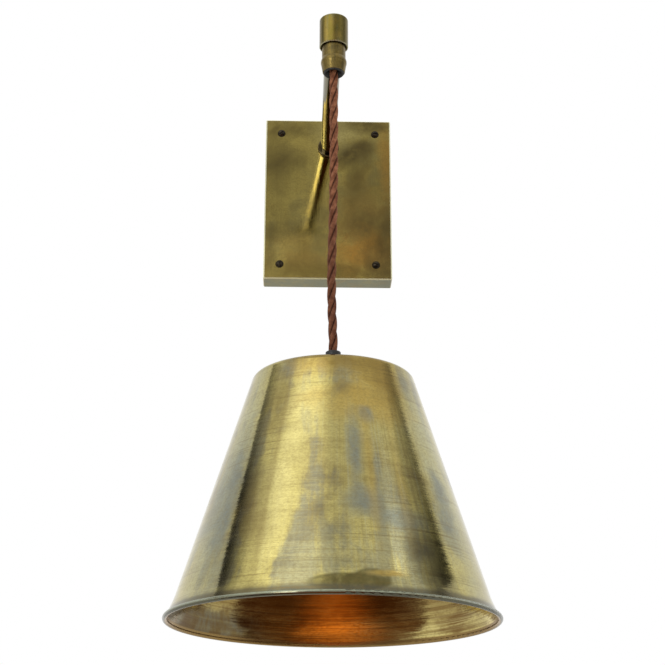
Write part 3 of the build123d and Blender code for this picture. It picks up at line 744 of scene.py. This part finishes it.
shadeLook = {
    **roundLook,
    "turning": {"sweep": 1.6, "pitch": 760.0, "tint": 0.18, "relief": 0.40, "scratch": 0.50},
    "runs": 3.2, "runLength": 7.0, "blotch": 30.0, "grit": 560.0,
    "roughness": (0.08, 0.17), "waviness": 14.0, "dents": 0.06,
    "bead": -0.3652,         # height of the rolled bead's top
    # tarnish, with painted reflections among it as marked: degrees from the front, height in mm, half width, half
    # height, tone, amount
    "patches": [
        # the pale patches at -56 and 55 degrees paint the reflection of the bright background on the sides
        (-56, -290, 12, 80, "pale", 0.75), (55, -280, 12, 80, "pale", 0.65), (-60, -300, 11, 30, "grey", 0.7),
        (-50, -318, 6, 34, "grey", 0.95), (-52, -280, 5, 22, "grey", 0.7), (-33, -222, 8, 8, "grey", 0.8),
        (-24, -300, 7, 50, "rub", 0.6), (-18, -255, 9, 24, "rub", 0.5), (-41, -296, 7, 26, "smoke", 0.55),
        (-34, -246, 11, 26, "brown", 0.55), (-37, -312, 7, 20, "brown", 0.6), (5, -238, 7, 6, "smoke", 0.9),
        (17, -243, 26, 14, "amber", 0.9), (29, -225, 30, 14, "amber", 0.85), (-12, -222, 26, 9, "amber", 0.7),
        (16, -255, 3.5, 5, "grey", 0.95), (9, -284, 4, 22, "grey", 0.95), (12, -312, 9, 11, "grey", 0.9),
        (-7, -317, 4, 8, "smoke", 0.55), (27, -322, 12, 7, "grey", 0.85), (-9, -322, 4, 14, "brown", 0.3),
        (33, -338, 8, 11, "smoke", 0.9), (53, -297, 6, 9, "grey", 0.9), (50, -318, 7, 20, "grey", 0.85),
        (50, -227, 8, 12, "grey", 0.8), (22, -305, 6, 30, "grey", 0.5), (15, -290, 3, 40, "amber", 0.5),
        (29, -300, 3, 36, "amber", 0.4), (-29, -290, 1.6, 80, "brown", 0.4), (-31, -324, 7, 13, "brown", 0.35),
        (10, -217, 34, 12, "umber", 0.95), (32, -226, 12, 18, "umber", 0.9), (-24, -216, 10, 6, "umber", 0.6),
        # the dark patches at 4 and 11 degrees, just above the rim, paint a dark reflection
        (4, -360.5, 13, 5.2, "mirroredDark", 1.0), (11, -358.5, 7, 6.0, "mirroredDark", 0.95), (17, -354.8, 6, 1.6, "amber", 0.9),
        (37, -358, 8, 9, "smoke", 0.8), (110, -280, 26, 40, "grey", 0.6), (150, -330, 20, 26, "amber", 0.6),
        (-120, -250, 24, 26, "brown", 0.6), (-160, -310, 18, 36, "grey", 0.6), (175, -240, 20, 18, "amber", 0.6),
    ],
    # painted reflections: a dark band above the bead, a pale one on it and a dark one under it; from which height
    # to which, tone, amount
    "shading": [(-0.3606, -0.3638, "smoke", 0.80), (-0.3649, -0.3653, "paintedBeadGlint", 0.9),
                (-0.3662, -0.3669, "smoke", 0.75)],
    "inner": {
        "deep": (0.260, 0.155, 0.050), "warm": (0.790, 0.650, 0.235), "rub": (0.900, 0.780, 0.340),
        "lip": (0.360, 0.235, 0.085), "lowDark": (0.150, 0.092, 0.038), "rougher": 0.03, "fray": 0.20,
        # darker low down on the left: from one height and side to another
        "lowDarkBelow": (-0.3450, -0.3525), "lowDarkSide": (-0.35, -0.62, 0, 0.85), "lowDarkRagged": 0.01,
        "mouth": (-0.3580, -0.3400, 0, 0.75),       # painted shade: darker above the mouth, higher inside the shade
        "beadAbove": 0.0008,                        # height over which the bead turns into the inside
    },
    "brushed": {"fine": 42.0, "long": 9.0, "angle": 22.0, "wide": 34.0, "amount": 0.28},
    "fray": 0.05,
}

holderLook = dict(
    roundLook, tones=dict(brassTones, gold=(0.33, 0.255, 0.075), olive=(0.22, 0.165, 0.05), rub=(0.42, 0.35, 0.13),
                          grey=(0.16, 0.15, 0.09)),
    turning={"sweep": 1.0, "pitch": 2600.0, "tint": 0.2, "relief": 0.2, "scratch": 0.2},
    runs=2.6, runLength=60.0, blotch=75.0, grit=1100.0, roughness=(0.13, 0.25), waviness=60.0, dents=0.04)

capLook = dict(
    holderLook, tones=dict(brassTones, gold=(0.190, 0.146, 0.028), olive=(0.138, 0.108, 0.024),
                           brown=(0.090, 0.070, 0.021), grey=(0.130, 0.130, 0.070), rub=(0.290, 0.235, 0.070),
                           bareAndGlint=(0.80, 0.80, 0.56)),
    turning={"sweep": 2.0, "pitch": 1900.0, "tint": 0.06, "relief": 0.05, "scratch": 0.1},
    runs=1.6, runLength=26.0, blotch=60.0, roughness=(0.20, 0.30), anisotropy=0, dulling=0.5, specks=0.1,
    mottling=0.2, worn=0.45, wornAxis=2, wornRough=0.40,
    # on the cap, the tall brown patches at 42 and -74 degrees are painted shade down its right side and left edge,
    # and the tall amber one at -36 degrees a painted highlight; the thin umber bands are tarnish
    patches=[(42, 41, 30, 40, "brown", 0.7), (-74, 42, 20, 40, "brown", 0.6), (-4, 46, 14, 5, "umber", 0.5),
             (10, 34, 16, 4, "umber", 0.6), (-36, 38, 10, 20, "amber", 0.4)])

gripLook = dict(
    capLook, tones=dict(brassTones, gold=(0.205, 0.146, 0.042), olive=(0.120, 0.086, 0.026),
                        brown=(0.060, 0.042, 0.014), grey=(0.118, 0.100, 0.046), rub=(0.400, 0.320, 0.125)),
    runs=4.5, runLength=40.0, blotch=110.0, roughness=(0.30, 0.42), dulling=0.75, mottling=0.5, worn=0.2,
    patches=[])

plateLook = {
    "tones": dict(brassTones, gold=(0.595, 0.468, 0.128), olive=(0.425, 0.334, 0.094), brown=(0.250, 0.175, 0.050),
                  grey=(0.32, 0.30, 0.14), rub=(0.68, 0.57, 0.21), amber=(0.560, 0.300, 0.062),
                  smoke=(0.140, 0.105, 0.042), umber=(0.420, 0.275, 0.080), bareAndGlint=(0.86, 0.83, 0.58)),
    "round": False, "axis": (0, 0, 0), "lie": (0, 0, 0), "shift": (0.0, 0.4, 0.2),
    "turning": {"sweep": 110.0, "pitch": 60.0, "tint": 0.10, "relief": 0.04, "scratch": 0.0},
    "runs": 2.0, "runLength": 16.0, "blotch": 38.0, "dulling": 0.6, "greying": 0.25, "specks": 0.25, "grit": 700.0,
    "roughness": (0.03, 0.08), "anisotropy": 0, "mottling": 0.35, "waviness": 22.0, "dents": 0.03,
    "bow": -0.046,
    "hazy": [(-8, -64, 70, 36, 0.18)],      # x and z in millimetres, half width, half height, roughness
    "patches": [             # x and z in millimetres, half width, half height, tone, amount
        (26, -20, 30, 40, "umber", 0.9), (-18, 60, 30, 12, "gold", 0.9), (14, 60, 12, 8, "rub", 0.8),
        (20, 38, 15, 13, "smoke", 1.0), (31, 46, 9, 7, "smoke", 0.7), (22, 14, 8, 17, "smoke", 0.7),
        (-30, 34, 14, 12, "smoke", 0.5), (-42, 30, 12, 30, "smoke", 0.6), (-34, -27, 14, 14, "smoke", 0.5),
        (33, -26, 18, 16, "smoke", 0.6), (26, -50, 30, 18, "amber", 0.95), (-12, -56, 22, 10, "umber", 0.7),
        (-46, -40, 8, 26, "smoke", 0.7), (47, 30, 7, 40, "amber", 0.7), (-25, 62, 26, 8, "smoke", 0.6),
        (30, 66, 30, 6, "smoke", 0.8), (48, -30, 7, 40, "smoke", 0.7), (0, -64, 60, 9, "brown", 0.75),
        (40, -60, 14, 20, "smoke", 0.6), (-24, -40, 22, 14, "umber", 0.5), (2, 60, 16, 16, "rub", 0.7),
        (26, 5, 20, 22, "brown", 0.4),
    ],
    "under": (0.215, 0.222, 0.148), "worn": 1.0, "wornAxis": 1, "wornRough": 0.35,
}

armLook = dict(
    holderLook, tones=dict(brassTones, gold=(0.245, 0.222, 0.140), olive=(0.180, 0.162, 0.104),
                           rub=(0.360, 0.330, 0.200), brown=(0.120, 0.095, 0.045)),
    turning={"sweep": 1.0, "pitch": 900.0, "tint": 0.05, "relief": 0.02, "scratch": 0.0},
    axis=(0, 0, 0.045), lie=(math.radians(90), 0, 0), around="Y", roughness=(0.04, 0.08), dulling=0.4,
    mottling=0.2, specks=0.1)

collarLook = dict(
    armLook, tones=dict(brassTones, gold=(0.10, 0.075, 0.03), olive=(0.07, 0.05, 0.02), brown=(0.035, 0.024, 0.012),
                        grey=(0.08, 0.07, 0.05), rub=(0.16, 0.13, 0.06)))

brightLook = dict(
    holderLook, tones=dict(brassTones, gold=(0.70, 0.55, 0.20), olive=(0.62, 0.48, 0.17), brown=(0.45, 0.33, 0.11),
                           rub=(0.80, 0.66, 0.30)),
    dulling=0.3, greying=0.1, specks=0.15, roughness=(0.16, 0.28))

for name, look, members in (
        ("shadeBrass", shadeLook, ["shade"]),
        ("holderBrass", holderLook, ["holder_dome", "holder_skirt", "holder_nipple", "shade_ring"]),
        ("capBrass", capLook, ["tip_cap"]),
        ("gripBrass", gripLook, ["grip_sleeve"]),
        ("plateBrass", plateLook, ["wall_plate"]),
        ("armBrass", armLook, ["arm_tube"]),
        ("collarBrass", collarLook, ["arm_collar"]),
        ("brightBrass", brightLook, ["earth_stud", "earth_nut", "socket_shell", "socket_contact"])):
    dress(agedBrass(name, look), *members)
print("brass dressed")


# Other metals, plastics, glass and porcelain

plainRecipe = {
    "fine": (5, 0.6), "broad": (4, 0.55, 0.3),      # detail, roughness, distortion
    "other": (0.35, 0.65), "dusty": (0.52, 0.75), "rough": (0.3, 0.7),
    "depth": 0.00015, "coatRoughness": 0.08,
}


def plainFinish(name, look):
    made, tree, shader = freshMaterial(name)
    recipe, place = plainRecipe, objectPlace(tree)
    fine = grain(tree, place, look["fine"], *recipe["fine"])
    broad = grain(tree, place, look["broad"], *recipe["broad"])
    base = blendColour(tree, spread(tree, broad, *recipe["other"]), look["colour"], look["other"])
    base = blendColour(tree, spread(tree, fine, *recipe["dusty"], 0, look["dust"]), base, look["dustColour"])
    bump = addNode(tree, "Bump", {"Height": fine, "Strength": look["relief"], "Distance": recipe["depth"]})
    feed(tree, shader, {
        "Base Color": base, "Roughness": spread(tree, fine, *recipe["rough"], *look["roughness"]),
        "Metallic": look.get("metal", 0), "Coat Weight": look.get("coat", 0),
        "Coat Roughness": recipe["coatRoughness"], "Normal": bump.outputs[0]})
    return made


sleeving = {"dust": 0.2, "fine": 900, "broad": 140, "roughness": (0.32, 0.45), "relief": 0.12}

finishes = {
    "screwMetal": (["wall_screws"], {
        "colour": (0.022, 0.018, 0.014), "other": (0.050, 0.040, 0.028), "dustColour": (0.16, 0.13, 0.07),
        "dust": 0.45, "fine": 900, "broad": 240, "roughness": (0.30, 0.5), "metal": 1, "relief": 0.4}),
    "steelMetal": (["arm_washer", "arm_nut", "terminal_screws"], {
        "colour": (0.52, 0.52, 0.50), "other": (0.42, 0.42, 0.41), "dustColour": (0.25, 0.24, 0.22),
        "dust": 0.3, "fine": 700, "broad": 120, "roughness": (0.25, 0.42), "metal": 1, "relief": 0.25}),
    "blackPlastic": (["grip_insert", "holder_bush"], {
        "colour": (0.009, 0.010, 0.009), "other": (0.014, 0.015, 0.013), "dustColour": (0.04, 0.038, 0.030),
        "dust": 0.2, "fine": 1100, "broad": 160, "roughness": (0.40, 0.58), "relief": 0.3}),
    "paleNylon": (["terminal_block"], {
        "colour": (0.72, 0.71, 0.66), "other": (0.66, 0.65, 0.60), "dustColour": (0.5, 0.48, 0.42),
        "dust": 0.25, "fine": 800, "broad": 90, "roughness": (0.42, 0.55), "relief": 0.15}),
    "brownSleeving": (["live_core"], {
        **sleeving, "colour": (0.110, 0.042, 0.018), "other": (0.14, 0.055, 0.024),
        "dustColour": (0.2, 0.11, 0.07)}),
    "blueSleeving": (["neutral_core"], {
        **sleeving, "colour": (0.018, 0.075, 0.270), "other": (0.022, 0.090, 0.320),
        "dustColour": (0.1, 0.16, 0.34)}),
    "greenSleeving": (["earth_core"], {
        **sleeving, "colour": (0.035, 0.230, 0.045), "other": (0.045, 0.270, 0.055),
        "dustColour": (0.16, 0.32, 0.16)}),
    "glazedPorcelain": (["porcelain"], {
        "colour": (0.80, 0.79, 0.75), "other": (0.76, 0.75, 0.70), "dustColour": (0.55, 0.5, 0.42),
        "dust": 0.2, "fine": 500, "broad": 60, "roughness": (0.14, 0.26), "coat": 0.6, "relief": 0.06}),
    "softSolder": (["lamp_pip"], {
        "colour": (0.50, 0.50, 0.49), "other": (0.42, 0.42, 0.41), "dustColour": (0.3, 0.29, 0.27),
        "dust": 0.3, "fine": 1200, "broad": 300, "roughness": (0.30, 0.48), "metal": 1, "relief": 0.4}),
    "blackGlass": (["lamp_insulator"], {
        "colour": (0.016, 0.015, 0.018), "other": (0.022, 0.021, 0.024), "dustColour": (0.06, 0.06, 0.06),
        "dust": 0.2, "fine": 900, "broad": 200, "roughness": (0.10, 0.22), "relief": 0.08}),
    "platedCap": (["lamp_cap"], {
        "colour": (0.66, 0.66, 0.64), "other": (0.58, 0.58, 0.56), "dustColour": (0.4, 0.39, 0.36),
        "dust": 0.25, "fine": 800, "broad": 160, "roughness": (0.18, 0.30), "metal": 1, "relief": 0.15}),
    "opalGlass": (["lamp_glass"], {
        "colour": (0.86, 0.85, 0.82), "other": (0.84, 0.83, 0.79), "dustColour": (0.74, 0.72, 0.66),
        "dust": 0.15, "fine": 300, "broad": 40, "roughness": (0.08, 0.16), "coat": 0.5, "relief": 0.02}),
}
for name, (members, look) in finishes.items():
    dress(plainFinish(name, look), *members)

hiddenWeave = {
    "weave": {"Scale": 260.0, "Distortion": 3.0, "Detail": 2.0}, "wear": (300, 4), "worn": (0.4, 0.7),
    "roughness": 0.8, "relief": 0.6, "depth": 0.00015,
}


def plainBraid(name, look, tones):
    # the flex where it runs hidden, in the arm and in the lampholder
    made, tree, shader = freshMaterial(name)
    place = objectPlace(tree)
    weave = addNode(tree, "TexWave", {"Vector": place, **look["weave"]}, wave_type="BANDS",
                    bands_direction="DIAGONAL").outputs["Fac"]
    wear = grain(tree, place, *look["wear"])
    # the weave's low bands take the dark gap tone: painted shade
    base = blendColour(tree, weave, tones["gap"], tones["light"])
    base = blendColour(tree, spread(tree, wear, *look["worn"]), base, tones["deep"])
    bump = addNode(tree, "Bump", {"Height": weave, "Strength": look["relief"], "Distance": look["depth"]})
    feed(tree, shader, {"Base Color": base, "Roughness": look["roughness"], "Normal": bump.outputs[0]})
    return made


dress(plainBraid("hiddenBraid", hiddenWeave, braid), "feed_flex", "flex_tail", "flex_drop", "flex_neck",
      "flex_swivel")
print("small pieces dressed")
